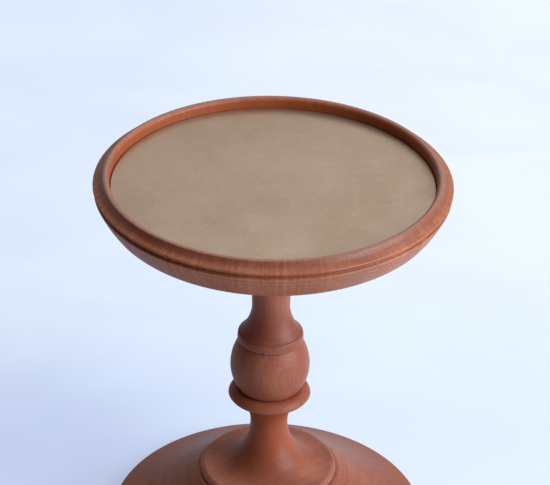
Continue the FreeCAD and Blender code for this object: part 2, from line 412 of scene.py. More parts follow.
def trace(outline: list[Step], closed: bool, tracing: Tracing) -> list[Sample]:
    """Trace a whole outline, with its corners eased and its wear worked out.

    Args:
        outline: Radius, height and bulge of each point, in millimetres, counter-clockwise.
        closed: True if the last point runs back to the first, false if both lie on the axis.
        tracing: How finely to trace.

    Returns:
        Radius, height, station along the outline, wear and wax of each sample; the wax mark also stands for
        painted crease shade.
    """
    spots = [Vector((radius, height)) for radius, height, _ in outline]
    points: list[Vector] = []
    for place in range(len(spots) if closed else len(spots) - 1):
        points += stretch_points(spots[place], spots[(place + 1) % len(spots)], outline[place][2], tracing)
    if not closed:
        points.append(spots[-1])

    eased: list[Vector] = []
    corners: list[tuple[int, float]] = []
    count = len(points)
    for place, point in enumerate(points):
        before, after = points[place - 1], points[(place + 1) % count]
        on_axis = not closed and place in (0, count - 1)
        turn = 0.0 if on_axis else -math.degrees((point - before).angle_signed(after - point))
        if abs(turn) < tracing.corner_deg:
            eased.append(point)
            continue
        corners.append((len(eased) + 1, turn))
        eased += ease_corner(before, point, after, tracing)
    if closed:
        eased.append(eased[0])

    stations = [0.0]
    for here, there in zip(eased, eased[1:]):
        stations.append(stations[-1] + (there - here).length)
    samples = []
    for point, station in zip(eased, stations):
        wear = wax = 0.0
        for place, turn in corners:
            away = abs(stations[place] - station)
            away = min(away, stations[-1] - away) if closed else away
            strength = min(1.0, abs(turn) / tracing.full_corner_deg)
            # inner corners get the wax mark: old wax together with painted crease shade
            if turn > 0:
                wear = max(wear, strength * math.exp(-(away / tracing.wear_reach) ** 2))
            else:
                wax = max(wax, strength * math.exp(-(away / tracing.crease_wax_and_shade_reach) ** 2))
        samples.append((point.x, point.y, station, wear, wax))
    return samples


class Lathe:
    """Spins outlines about the upright axis with one shared geometry node tree."""

    CREASE_DEG = 32.0                # faces that meet at more than this keep a crisp edge
    # the wax mark darkens inner corners: old wax together with painted crease shade
    MARKS = ("station", "wear", "wax")

    def __init__(self) -> None:
        """Lay out the nodes: a grid whose rows are the outline's samples and whose columns go round."""
        tree = self.tree = ShapeTree("turn_outline", {
            "Outline": "Geometry", "Segments": "Int", "Crease": "Float", "Finish": "Material"})
        outline, segments = tree.entry["Outline"], tree.entry["Segments"]
        rows = tree.add("GeometryNodeAttributeDomainSize", {"Geometry": outline}, "Point Count",
                        component="MESH")
        columns = tree.add("FunctionNodeIntegerMath", {0: segments, 1: 1}, operation="ADD")
        mesh = tree.add("GeometryNodeMeshGrid", {"Vertices X": rows, "Vertices Y": columns})
        index = tree.add("GeometryNodeInputIndex")
        row, column = (tree.add("FunctionNodeIntegerMath", {0: index, 1: columns}, operation=operation)
                       for operation in ("DIVIDE_FLOOR", "MODULO"))
        angle = tree.times(tree.math("DIVIDE", column, segments), math.tau)
        spot = tree.apart(self._sample(tree.add("GeometryNodeInputPosition"), row, "FLOAT_VECTOR"))
        mesh = tree.add("GeometryNodeSetPosition", {
            "Geometry": mesh, "Position": tree.round_axis(spot["X"], angle, spot["Z"])})
        for mark in self.MARKS:
            value = tree.add("GeometryNodeInputNamedAttribute", {"Name": mark}, "Attribute",
                             data_type="FLOAT")
            mesh = tree.add("GeometryNodeStoreNamedAttribute", {
                "Geometry": mesh, "Name": mark, "Value": self._sample(value, row, "FLOAT")},
                data_type="FLOAT", domain="POINT")
        mesh = tree.add("GeometryNodeMergeByDistance", {"Geometry": mesh, "Distance": SEAM})
        fold = tree.add("GeometryNodeInputMeshEdgeAngle", out="Unsigned Angle")
        crisp = tree.add("FunctionNodeCompare", {0: fold, 1: tree.entry["Crease"]}, data_type="FLOAT",
                         operation="GREATER_THAN")
        tree.close(tree.add("GeometryNodeSetShadeSmooth", {
            "Geometry": mesh, "Selection": crisp, "Shade Smooth": False}, domain="EDGE"))

    def _sample(self, value: Socket, row: Socket, kind: str) -> Socket:
        """Return what the outline holds for a row."""
        return self.tree.add("GeometryNodeSampleIndex", {
            "Geometry": self.tree.entry["Outline"], "Value": value, "Index": row},
            data_type=kind, domain="POINT")

    def turn(self, name: str, samples: list[Sample], segments: int, finish: Material) -> Piece:
        """Spin traced samples into a closed piece.

        Args:
            name: Name of the piece.
            samples: Radius, height, station, wear and wax (with painted crease shade) of each point, in
                millimetres.
            segments: Faces in one full turn.
            finish: Material of the piece.

        Returns:
            The piece, as a plain mesh at the origin.
        """
        wire = bpy.data.meshes.new(name + "_outline")
        points = [(radius * MM, 0.0, height * MM) for radius, height, *_ in samples]
        wire.from_pydata(points, [(place, place + 1) for place in range(len(points) - 1)], [])
        for column, mark in enumerate(self.MARKS, start=2):
            layer = wire.attributes.new(mark, "FLOAT", "POINT")
            layer.data.foreach_set("value", [sample[column] for sample in samples])
        return self.tree.make(new_object(name + "_blank", wire), name, {
            "Segments": segments, "Crease": math.radians(self.CREASE_DEG), "Finish": finish})


# Finishes


@dataclass(frozen=True)
class Finish:
    """A procedural material in millimetres of the piece's own space."""

    name: str

    def material(self) -> Material:
        """Make the material with an empty tree, and let the finish fill it."""
        made = bpy.data.materials.new(self.name)
        made.use_nodes = True
        made.node_tree.nodes.clear()
        bench = Bench(made.node_tree)
        bench.node("ShaderNodeOutputMaterial", {
            "Surface": bench.add("ShaderNodeBsdfPrincipled", self.fill(bench), "BSDF")})
        return made

    def fill(self, bench: Bench) -> dict[str, object]:
        """Add the finish's nodes and return what each socket of the shader gets."""
        raise NotImplementedError


@dataclass(frozen=True)
class Stain:
    """A ring round the work where the wood has another tone."""

    radius: float
    height: float
    reach: tuple[float, float]       # full strength up to the first distance, none beyond the second
    share: float
    colour: str


@dataclass(frozen=True)
class OiledHardwood(Finish):
    """Reddish, fine-pored hardwood, turned, sanded and rubbed with oil.

    The eye gets a satin brown that is warm and deep in the shade and paler where it meets the light at a
    slant, with short dark dashes where the pores were cut open, and faint rings where the tool went round.
    """

    name: str = "oiled_hardwood"
    grain: Grain = Grain.UPRIGHT
    fleck: Grain = Grain.UPRIGHT
    heartwood: str = "#8E4E37"
    sapwood: str = "#AE6C52"
    pore: str = "#4A2218"
    worn: str = "#BC8468"
    # old wax in the inner corners, made darker as painted crease shade
    wax_and_crease_shade: str = "#54281C"
    ring_spacing: float = 3.1          # growth rings
    pith: Triple = (31.0, -46.0, 0.0)  # the tree's middle, beside the blank
    fibre_width: float = 0.55
    fibre_length: float = 16.0
    cloud_width: float = 17.0
    cloud_length: float = 42.0
    pore_pitch: float = 0.72           # across the grain, from pore to pore
    pore_length: float = 2.9
    pore_depth: float = 0.05
    pore_drift: float = 2.4            # how far the rows of pores wander
    tool_pitch: float = 0.46           # the tool's travel in one turn of the work
    figure: float = 0.1                # how strongly the rings show
    streak: float = 0.75               # how strongly the fibres show
    shiver: float = 0.0                # how strongly the marks of a shivering tool show
    shiver_radius: float = 60.0        # of the edge that the tool shivered on
    shiver_pitch: float = 1.2          # along that edge, from mark to mark
    turning: float = 0.25              # how strongly the lines round the work show
    turning_pitch: float = 1.1
    mottle: float = 0.45               # how strongly the broad clouds in the wood show
    stains: tuple[Stain, ...] = ()
    pore_strength: float = 0.08
    # how strongly old wax and painted crease shade darken the inner corners
    crease_wax_and_shade_strength: float = 0.12
    roughness: float = 0.5
    wax: float = 0.15                  # how much of a rubbed wax film lies over the wood
    gloss: float = 0.15                # specular level of the oiled surface

    def near_ring(self, bench: Bench, here: Socket, stain: Stain) -> Socket:
        """Return the stain's strength at a place."""
        level = bench.vector("MULTIPLY", here, (1.0, 1.0, 0.0))
        radius = bench.vector("LENGTH", level, out="Value")
        spot = bench.joined(radius, 0.0, bench.apart(here)["Z"])
        away = bench.vector("DISTANCE", spot, (stain.radius, 0.0, stain.height), out="Value")
        return bench.fade(away, *stain.reach, stain.share, 0.0)

    def pores(self, bench: Bench, here: Socket) -> Socket:
        """Return the cut pores: short dashes along the fleck, in rows that wander."""
        dash = bench.mapped(here, turn=self.fleck.value)
        wander = bench.add("ShaderNodeTexNoise", {"Vector": dash, "Scale": 0.09, "Detail": 1.0}, "Color")
        dash = bench.vector("ADD", dash, bench.vector("SCALE", wander, scale=self.pore_drift))
        distance, chance = bench.cells(bench.repeated(dash, self.pore_pitch, self.pore_pitch,
                                                      self.pore_length))
        size = bench.fade(chance, 0.25, 0.95, 0.16, 0.42)      # in pitches
        return bench.fade(bench.minus(size, distance), 0.0, 0.16)

    def fill(self, bench: Bench) -> dict[str, object]:
        """Add rings, fibres, pores, stains, wear, wax with painted crease shade, and tool marks."""
        here = bench.here()
        along = bench.mapped(here, turn=self.grain.value, shift=self.pith)
        ring_scale = math.tau / (20.0 * self.ring_spacing)     # the wave texture has 20 radians a unit
        rings = bench.add("ShaderNodeTexWave", {
            "Vector": bench.mapped(along, (1.0, 1.0, 0.06)), "Scale": ring_scale, "Distortion": 7.0,
            "Detail": 3.0, "Detail Scale": 0.55, "Detail Roughness": 0.6}, "Fac",
            wave_type="RINGS", rings_direction="Z", wave_profile="SAW")
        fibre = bench.cloud(bench.repeated(along, self.fibre_width, self.fibre_width, self.fibre_length),
                            5.0, 0.62)
        cloud = bench.cloud(bench.repeated(along, self.cloud_width, self.cloud_width, self.cloud_length), 2.0)
        pores = self.pores(bench, here)
        outwards = bench.vector("NORMALIZE", bench.vector("MULTIPLY", here, (1.0, 1.0, 0.0)))
        shivers = bench.cloud(bench.mapped(outwards, (self.shiver_radius / self.shiver_pitch,) * 3), 2.0, 0.6)
        station = bench.mark("station")
        lines = bench.add("ShaderNodeTexNoise", {
            "W": bench.math("DIVIDE", station, self.turning_pitch), "Scale": 1.0, "Detail": 2.0},
            noise_dimensions="1D")
        tone = bench.plus(bench.times(rings, self.figure), bench.times(fibre, self.streak),
                          bench.times(cloud, self.mottle), bench.times(shivers, self.shiver),
                          bench.times(lines, self.turning))
        dark = (self.streak + self.mottle + self.shiver + self.turning) / 2 - 0.145
        colour = bench.blend(bench.fade(tone, dark, dark + 0.6), self.heartwood, self.sapwood)
        # Stains: some are the wood's own tone, others are painted shade or painted bounce light.
        for stain in self.stains:
            colour = bench.blend(self.near_ring(bench, here, stain), colour, stain.colour)
        colour = bench.blend(bench.times(pores, self.pore_strength), colour, self.pore)
        wear = bench.mark("wear")
        rubbed = bench.times(wear, bench.fade(fibre, 0.35, 0.7, 0.12, 0.42))
        colour = bench.blend(rubbed, colour, self.worn)
        # inner corners darkened: old wax together with painted crease shade
        colour = bench.blend(bench.times(bench.mark("wax"), self.crease_wax_and_shade_strength), colour, self.wax_and_crease_shade)

        travel = bench.times(station, math.tau / self.tool_pitch)
        chatter = bench.times(bench.math("SINE", travel), bench.fade(cloud, 0.4, 0.62, 0.0, 0.09))
        relief = bench.minus(bench.plus(bench.times(fibre, 0.22), chatter), pores)
        dry = bench.plus(self.roughness, bench.times(pores, 0.2), bench.fade(cloud, 0.35, 0.65, -0.05, 0.05))
        return {"Base Color": colour, "Roughness": bench.minus(dry, bench.times(wear, 0.08)), "IOR": 1.5,
                "Specular IOR Level": self.gloss, "Coat Weight": self.wax, "Coat Roughness": 0.3,
                "Normal": bench.bump(relief, 0.55, self.pore_depth)}


@dataclass(frozen=True)
class DulledBrass(Finish):
    """Sheet brass, once brushed, now dulled by handling and candle warmth.

    The eye gets a matte, greyish gold that takes the colour of the room, clouded where the tarnish is
    thicker, with fine crossing scratches, a few dark specks and a brighter line at the broken edge.
    """

    name: str = "dulled_brass"
    clean: str = "#BFA483"
    dull: str = "#B3977D"
    clouded: str = "#AE9378"
    speck: str = "#5C4433"
    cloud_size: float = 26.0
    grain_size: float = 2.6
    speck_pitch: float = 13.0
    speck_radius: float = 0.48       # of the largest
    scratch_width: float = 0.11
    scratch_length: float = 15.0
    scratch_turns: Triple = (24.0, -58.0, 83.0)
    relief: float = 0.02
    film: float = 0.2                # how much light the oxide scatters before the metal mirrors it
    roughness: float = 0.42

    def fill(self, bench: Bench) -> dict[str, object]:
        """Add clouds, specks, scratches and the bright edge."""
        here = bench.here()
        broad = bench.cloud(bench.repeated(here, self.cloud_size), 3.0, 0.55)
        fine = bench.cloud(bench.repeated(here, self.grain_size), 4.0, 0.6)
        colour = bench.blend(bench.fade(broad, 0.3, 0.75), self.dull, self.clouded)
        colour = bench.blend(bench.fade(fine, 0.45, 0.7, 0.0, 0.3), colour, self.clean)
        distance, chance = bench.cells(bench.repeated(here, self.speck_pitch, self.speck_pitch, 0.0),
                                       voronoi_dimensions="2D")
        reach = bench.fade(chance, 0.4, 1.0, 0.0, self.speck_radius / self.speck_pitch)
        specks = bench.fade(bench.minus(reach, distance), 0.0, 0.03)
        colour = bench.blend(bench.times(specks, 0.6), colour, self.speck)
        colour = bench.blend(bench.times(bench.mark("wear"), 0.5), colour, self.clean)
        scratches: Socket | float = 0.0
        for turn in self.scratch_turns:
            streak = bench.cloud(bench.repeated(here, self.scratch_width, self.scratch_length, 0.0,
                                                turn=turn), 2.0, noise_dimensions="2D")
            scratches = bench.math("MAXIMUM", scratches, bench.fade(streak, 0.66, 0.74))
        relief = bench.minus(bench.times(fine, 0.5), scratches, bench.times(specks, 1.5))
        dry = bench.plus(self.roughness, bench.fade(broad, 0.35, 0.65, -0.04, 0.07))
        return {"Base Color": colour, "Metallic": 1 - self.film,
                "Roughness": bench.minus(dry, bench.times(scratches, 0.08)),
                "Normal": bench.bump(relief, 0.25, self.relief)}


@dataclass(frozen=True)
class ZincPlate(Finish):
    """Mild steel, cold headed and zinc plated.

    The eye gets a cool grey with a soft frost, duller in the roots of the thread.
    """

    name: str = "zinc_plated_steel"
    bright: str = "#C6C9CC"
    dull: str = "#8E9296"
    frost_size: float = 0.5
    relief: float = 0.01
    roughness: float = 0.34

    def fill(self, bench: Bench) -> dict[str, object]:
        """Add the frost of the plating."""
        frost = bench.cloud(bench.repeated(bench.here(), self.frost_size), 4.0)
        return {"Base Color": bench.blend(bench.fade(frost, 0.38, 0.64), self.dull, self.bright),
                "Metallic": 1.0, "Roughness": bench.plus(self.roughness, bench.times(frost, 0.14)),
                "Normal": bench.bump(frost, 0.3, self.relief)}


@dataclass(frozen=True)
class PressedFelt(Finish):
    """Wool felt, pressed and die cut.

    The eye gets a dark, light-swallowing mat of crossing fibres with a pale bloom at a slant.
    """

    name: str = "pressed_wool_felt"
    deep: str = "#2E2420"
    pale: str = "#54463E"
    fibre_sizes: Triple = (0.09, 2.2, 0.3)
    fibre_turns: Triple = (12.0, 71.0, 132.0)
    clump_size: float = 3.4
    relief: float = 0.12

    def fill(self, bench: Bench) -> dict[str, object]:
        """Add three layers of crossing fibres."""
        here = bench.here()
        mat: Socket | float = 0.0
        for turn in self.fibre_turns:
            layer = bench.cloud(bench.repeated(here, *self.fibre_sizes, turn=turn), 3.0, distortion=0.6)
            mat = bench.math("MAXIMUM", mat, layer)
        clump = bench.cloud(bench.repeated(here, self.clump_size), 2.0)
        tone = bench.plus(bench.times(mat, 0.8), bench.times(clump, 0.4))
        return {"Base Color": bench.blend(bench.fade(tone, 0.55, 0.85), self.deep, self.pale),
                "Roughness": 0.95, "Sheen Weight": 0.35, "Sheen Roughness": 0.5,
                "Normal": bench.bump(tone, 0.8, self.relief)}


@dataclass(frozen=True)
class ContactAdhesive(Finish):
    """Solvent adhesive, brushed on and pressed thin.

    The eye gets a yellowish, half clear film with brush streaks and small bubbles.
    """

    name: str = "contact_adhesive"
    film: str = "#CDBE93"
    thick: str = "#A88F58"
    streak_sizes: Triple = (1.1, 24.0, 1.0)
    bubble_sizes: Triple = (1.7, 1.7, 1.0)
    brush_turn: float = 31.0
    relief: float = 0.05

    def fill(self, bench: Bench) -> dict[str, object]:
        """Add brush streaks and bubbles."""
        here = bench.here()
        streak = bench.cloud(bench.repeated(here, *self.streak_sizes, turn=self.brush_turn), 3.0)
        bubbles = bench.cells(bench.repeated(here, *self.bubble_sizes))[0]
        return {"Base Color": bench.blend(bench.fade(streak, 0.4, 0.62), self.film, self.thick),
                "Roughness": 0.38,
                "Normal": bench.bump(bench.plus(streak, bench.fade(bubbles, 0.12, 0.2)), 0.5, self.relief)}


# Stations up the stand, which every sub-assembly takes its place from


@dataclass(frozen=True)
class Fits:
    """Clearances between the pieces, and the heights at which they seat."""

    glue_gap: float = 0.1
    mortise_end_gap: float = 0.5
    screw_gap: float = 0.1
    plate_gap: float = 0.35
    screw_end_gap: float = 1.0
    screw_head_sink: float = 0.2
    felt_thickness: float = 1.2
    stem_seat: float = 25.0          # top of the base
    tray_seat: float = 126.95        # top of the stem's collar
    dish_floor: float = 138.7        # under the plate
    foot_tenon: tuple[float, float] = (8.0, 10.5)      # radius and length
    top_tenon: tuple[float, float] = (7.0, 6.5)


FITS = Fits()


@dataclass(frozen=True)
class WoodScrew:
    """A countersunk wood screw with a cross recess. Shares are of the thread's radius."""

    radius: float
    length: float
    head_share: float = 2.0
    land_share: float = 0.25
    core_share: float = 0.66
    pitch_share: float = 0.9
    tip_share: float = 1.5
    plain_share: float = 0.3         # of the length
    segments: int = 48
    thread_steps: int = 28           # straight pieces in one turn of the thread
    thread_runout: float = 0.06      # share of the thread over which it rises out of the core
    recess_half_width_share: float = 0.21
    recess_half_length_share: float = 1.05
    recess_depth_share: float = 1.1
    recess_taper: float = 0.72

    @property
    def head_radius(self) -> float:
        """Radius of the head's rim."""
        return self.radius * self.head_share

    @property
    def core(self) -> float:
        """Radius of the body inside the thread."""
        return self.radius * self.core_share

    @property
    def cone_height(self) -> float:
        """Height of the head's 90 degree cone."""
        return self.head_radius - self.radius

    def hole(self, face: float, down: int, far: float) -> list[Step]:
        """Outline a countersunk hole, from the wood's face inwards.

        Args:
            face: Height of the wood's face.
            down: -1 where the screw points down, 1 where it points up.
            far: Height of the hole's other end.

        Returns:
            Points of the hole's wall.
        """
        rim = face + down * (FITS.screw_head_sink + self.radius * self.land_share)
        head, bore = self.head_radius + FITS.screw_gap, self.radius + FITS.screw_gap
        return [(head, face, 0), (head, rim, 0), (bore, rim + down * self.cone_height, 0), (bore, far, 0)]

    def body_outline(self) -> list[Step]:
        """Return the body without its thread, point down, with the flat of its head at height zero."""
        land = self.radius * self.land_share
        shank_end = -self.length * self.plain_share
        return [
            (0, -self.length, 0),
            (self.core, self.radius * self.tip_share - self.length, 0),
            (self.core, shank_end, 0),
            (self.radius, shank_end + (self.radius - self.core), 0),
            (self.radius, -land - self.cone_height, 0),
            (self.head_radius, -land, 0),
            (self.head_radius, 0, 0),
            (0, 0, 0),
        ]

    def recess(self) -> Piece:
        """Return the cross that is pressed into the head, as a tool to cut with."""
        short, long = self.radius * self.recess_half_width_share, self.radius * self.recess_half_length_share
        depth = self.radius * self.recess_depth_share * MM
        arm = [(long, -short), (long, short), (short, short)]
        corners = []
        for _ in range(4):
            corners += arm
            arm = [(-y, x) for x, y in arm]
        work = bmesh.new()
        top, foot = ([work.verts.new((x * share * MM, y * share * MM, height)) for x, y in corners]
                     for share, height in ((1.0, depth), (self.recess_taper, -depth)))
        work.faces.new(top)
        work.faces.new(foot[::-1])
        wall(work, top, foot)
        return new_object("recess_tool", new_mesh("recess_tool", work))

    def thread_tree(self) -> ShapeTree:
        """Build the tree that winds a thread: a helix that narrows at the point, swept with a ridge."""
        tree = ShapeTree("wind_thread", {
            "Start": "Float", "Length": "Float", "Tip": "Float", "Core": "Float", "Ridge": "Float",
            "Turns": "Float", "Steps": "Int", "Finish": "Material"})
        entry = tree.entry
        total = tree.times(entry["Turns"], entry["Steps"])
        line = tree.add("GeometryNodeMeshLine", {"Count": total}, mode="OFFSET", count_mode="TOTAL")
        index = tree.add("GeometryNodeInputIndex")
        share = tree.math("DIVIDE", index, total)
        fall = tree.times(share, entry["Length"])
        narrow = tree.math("DIVIDE", tree.minus(entry["Length"], fall), entry["Tip"], use_clamp=True)
        rise = tree.add("ShaderNodeMapRange", {
            "Value": share, "From Min": 0.0, "From Max": self.thread_runout, "To Min": 0.05, "To Max": 1.0})
        place = tree.round_axis(
            tree.times(entry["Core"], narrow),
            tree.times(tree.math("DIVIDE", index, entry["Steps"]), math.tau),
            tree.minus(entry["Start"], fall))
        helix = tree.add("GeometryNodeSetPosition", {"Geometry": line, "Position": place})
        path = tree.add("GeometryNodeMeshToCurve", {0: helix})
        path = tree.add("GeometryNodeSetCurveNormal", {0: path}, mode="Z_UP")
        ridge = tree.add("GeometryNodeCurvePrimitiveCircle", {"Resolution": 4, "Radius": entry["Ridge"]},
                         mode="RADIUS")
        tree.close(tree.add("GeometryNodeCurveToMesh", {
            "Curve": path, "Profile Curve": ridge, "Scale": tree.times(narrow, rise), "Fill Caps": True}))
        return tree

    def thread(self, name: str, steel: Material) -> Piece:
        """Wind the thread on its own, as a closed ridge that sinks into the core."""
        start = -self.length * self.plain_share
        length = self.length + start
        blank = new_object(name, bpy.data.meshes.new(name))
        return self.thread_tree().make(blank, name, {
            "Start": start * MM, "Length": length * MM, "Tip": self.radius * self.tip_share * MM,
            "Core": self.core * MM, "Ridge": (self.radius - self.core) * MM,
            "Turns": length / (self.radius * self.pitch_share), "Steps": self.thread_steps,
            "Finish": steel})

    def build(self, name: str, lathe: Lathe, steel: Material, head: float, points_up: bool) -> Piece:
        """Turn the body, wind the thread, press the recess and put the screw in its place.

        Args:
            name: Name of the screw.
            lathe: Spins the body.
            steel: Finish.
            head: Height of the flat of the head.
            points_up: True where the screw is driven from below.

        Returns:
            The finished screw.
        """
        samples = trace(self.body_outline(), False, Tracing(easing=0.06))
        body = lathe.turn(name + "_body", samples, self.segments, steel)
        thread, tool = self.thread(name + "_thread", steel), self.recess()
        for other, how in ((thread, "UNION"), (tool, "DIFFERENCE")):
            cut = body.modifiers.new(how.lower(), "BOOLEAN")
            cut.object, cut.operation, cut.solver = other, how, "EXACT"
        piece = settle(body, name)
        for other in (thread, tool):
            bpy.data.objects.remove(other, do_unlink=True)
        piece.data.materials.clear()
        piece.data.materials.append(steel)
        if points_up:
            piece.data.transform(Matrix.Rotation(math.pi, 4, "X"))
        piece.data.transform(Matrix.Translation((0, 0, head * MM)))
        return piece


FOOT_SCREW = WoodScrew(radius=2.0, length=35.0)
TRAY_SCREW = WoodScrew(radius=1.75, length=25.0)


def wall(work: bmesh.types.BMesh, first: list, second: list) -> None:
    """Close the gap between two rings of corners with a band of faces."""
    for place in range(len(first)):
        after = (place + 1) % len(first)
        work.faces.new((first[place], second[place], second[after], first[after]))


@dataclass(frozen=True)
class FeltPad:
    """A die cut disc of felt whose cut edge is a little furry."""

    radius: float
    thickness: float
    edge_wander: float = 0.12        # how far the knife wandered
    edge_round: float = 0.12         # how far the faces are drawn in at the edge
    wander_rate: float = 9.0
    segments: int = 288
    layers: int = 5                  # rows of faces up the cut edge
    hairs: int = 2600
    hair_length: float = 0.85
    hair_radius: float = 0.022
    clear: float = 0.1               # hairs stay this far from both faces
    seed: int = 7

    def disc(self, felt: Material) -> Piece:
        """Return the disc, with its cut edge slightly rounded and uneven."""
        work = bmesh.new()
        rows = []
        for layer in range(self.layers + 1):
            share = layer / self.layers
            draw_in = self.edge_round * (2 * share - 1) ** 4
            ring = []
            for place in range(self.segments):
                angle = math.tau * place / self.segments
                across, back = math.cos(angle), math.sin(angle)
                wander = noise.noise(Vector((across, back, share * 0.2)) * self.wander_rate)
                radius = self.radius - draw_in - self.edge_wander * (0.5 + 0.5 * wander)
                ring.append(work.verts.new((radius * across * MM, radius * back * MM,
                                            share * self.thickness * MM)))
            rows.append(ring)
        for lower, upper in zip(rows, rows[1:]):
            wall(work, lower, upper)
        for ring, height in ((rows[0], 0.0), (rows[-1], self.thickness)):
            middle = work.verts.new((0, 0, height * MM))
            for place in range(self.segments):
                work.faces.new((ring[place], ring[(place + 1) % self.segments], middle))
        mesh = new_mesh("felt_disc", work)
        mesh.materials.append(felt)
        return new_object("felt_disc", mesh)

    def hair_tree(self) -> ShapeTree:
        """Build the tree that scatters bent hairs over the cut edge, lying close along it."""
        tree = ShapeTree("fur_cut_edge", {
            "Disc": "Geometry", "Density": "Float", "Hair Length": "Float", "Hair Radius": "Float",
            "Lowest": "Float", "Highest": "Float", "Seed": "Int", "Finish": "Material"})
        entry = tree.entry
        flat = tree.math("ABSOLUTE", tree.apart(tree.add("GeometryNodeInputNormal"))["Z"])
        edge = tree.add("FunctionNodeCompare", {0: flat, 1: 0.5}, data_type="FLOAT", operation="LESS_THAN")
        spread = tree.node("GeometryNodeDistributePointsOnFaces", {
            "Mesh": entry["Disc"], "Selection": edge, "Density": entry["Density"],
            "Seed": entry["Seed"]}, distribute_method="RANDOM").outputs
        lean = tree.add("FunctionNodeRandomValue", {
            "Min": (-0.25, -0.45, 0.0), "Max": (0.25, 0.45, math.tau), "Seed": entry["Seed"]},
            data_type="FLOAT_VECTOR")
        upright = tree.add("FunctionNodeAlignRotationToVector", {"Vector": spread["Normal"]}, axis="X")
        turned = tree.add("FunctionNodeRotateRotation", {0: upright, 1: lean}, rotation_space="LOCAL")
        bend = tree.add("GeometryNodeCurvePrimitiveBezierSegment", {
            "Resolution": 4, "Start": (0, 0, 0), "Start Handle": (0.3, 0.1, 0.0),
            "End Handle": (0.35, 0.55, 0.05), "End": (0.2, 1.0, 0.1)}, mode="POSITION")
        size = tree.joined(*(entry["Hair Length"],) * 3)
        sized = tree.add("GeometryNodeTransform", {"Geometry": bend, "Scale": size})
        thick = tree.add("GeometryNodeCurvePrimitiveCircle", {
            "Resolution": 3, "Radius": entry["Hair Radius"]}, mode="RADIUS")
        hair = tree.add("GeometryNodeCurveToMesh", {
            "Curve": sized, "Profile Curve": thick, "Fill Caps": True})
        many = tree.add("GeometryNodeInstanceOnPoints", {
            "Points": spread["Points"], "Instance": hair, "Rotation": turned})
        real = tree.add("GeometryNodeRealizeInstances", {0: many})
        spot = tree.apart(tree.add("GeometryNodeInputPosition"))
        level = tree.add("ShaderNodeClamp", {"Value": spot["Z"], "Min": entry["Lowest"],
                                             "Max": entry["Highest"]})
        held = tree.add("GeometryNodeSetPosition", {
            "Geometry": real, "Position": tree.joined(spot["X"], spot["Y"], level)})
        both = tree.node("GeometryNodeJoinGeometry", {0: entry["Disc"]})
        tree.tree.links.new(held, both.inputs[0])
        tree.close(both.outputs[0])
        return tree

    def build(self, felt: Material) -> Piece:
        """Return the furred pad."""
        side = math.tau * self.radius * self.thickness * MM * MM
        return self.hair_tree().make(self.disc(felt), "felt_pad", {
            "Density": self.hairs / side, "Hair Length": self.hair_length * MM,
            "Hair Radius": self.hair_radius * MM, "Lowest": self.clear * MM,
            "Highest": (self.thickness - self.clear) * MM, "Seed": self.seed, "Finish": felt})


@dataclass(frozen=True)
class BaseAssembly:
    """The swept base, its felt and the screw that comes up through it."""

    side: tuple[Row, ...] = (
        ("underside", 54.8, 0.0, 0.17),
        ("edge", 55.8, 2.4, 0.16),
        ("shoulder", 53.6, 3.0, -0.038),
        ("sweep", 25.9, 17.5, 0.1),
        ("crown", 24.55, 0.9, 0.0),
    )
    felt_radius: float = 51.3
    segments: int = 320

    def base_outline(self) -> list[Step]:
        """Return the disc's outline: side, mortise and screw hole."""
        radius, length = FITS.foot_tenon
        mortise = radius + FITS.glue_gap
        mortise_floor = FITS.stem_seat - length - FITS.mortise_end_gap
        hole = FOOT_SCREW.hole(FITS.felt_thickness, 1, mortise_floor)
        return (climb(FITS.felt_thickness, self.side)
                + [(mortise, FITS.stem_seat, 0), (mortise, mortise_floor, 0)] + hole[::-1])

    def build(self, lathe: Lathe, wood: Material, felt: Material, steel: Material) -> None:
        """Build the disc, the felt and the screw, each from its finish."""
        samples = trace(self.base_outline(), True, Tracing())
        seat(lathe.turn("turned_base", samples, self.segments, wood), "base_disc")
        seat(FeltPad(self.felt_radius, FITS.felt_thickness).build(felt), "base_felt")
        head = FITS.felt_thickness + FITS.screw_head_sink
        seat(FOOT_SCREW.build("foot_screw", lathe, steel, head, points_up=True), "base_screw")


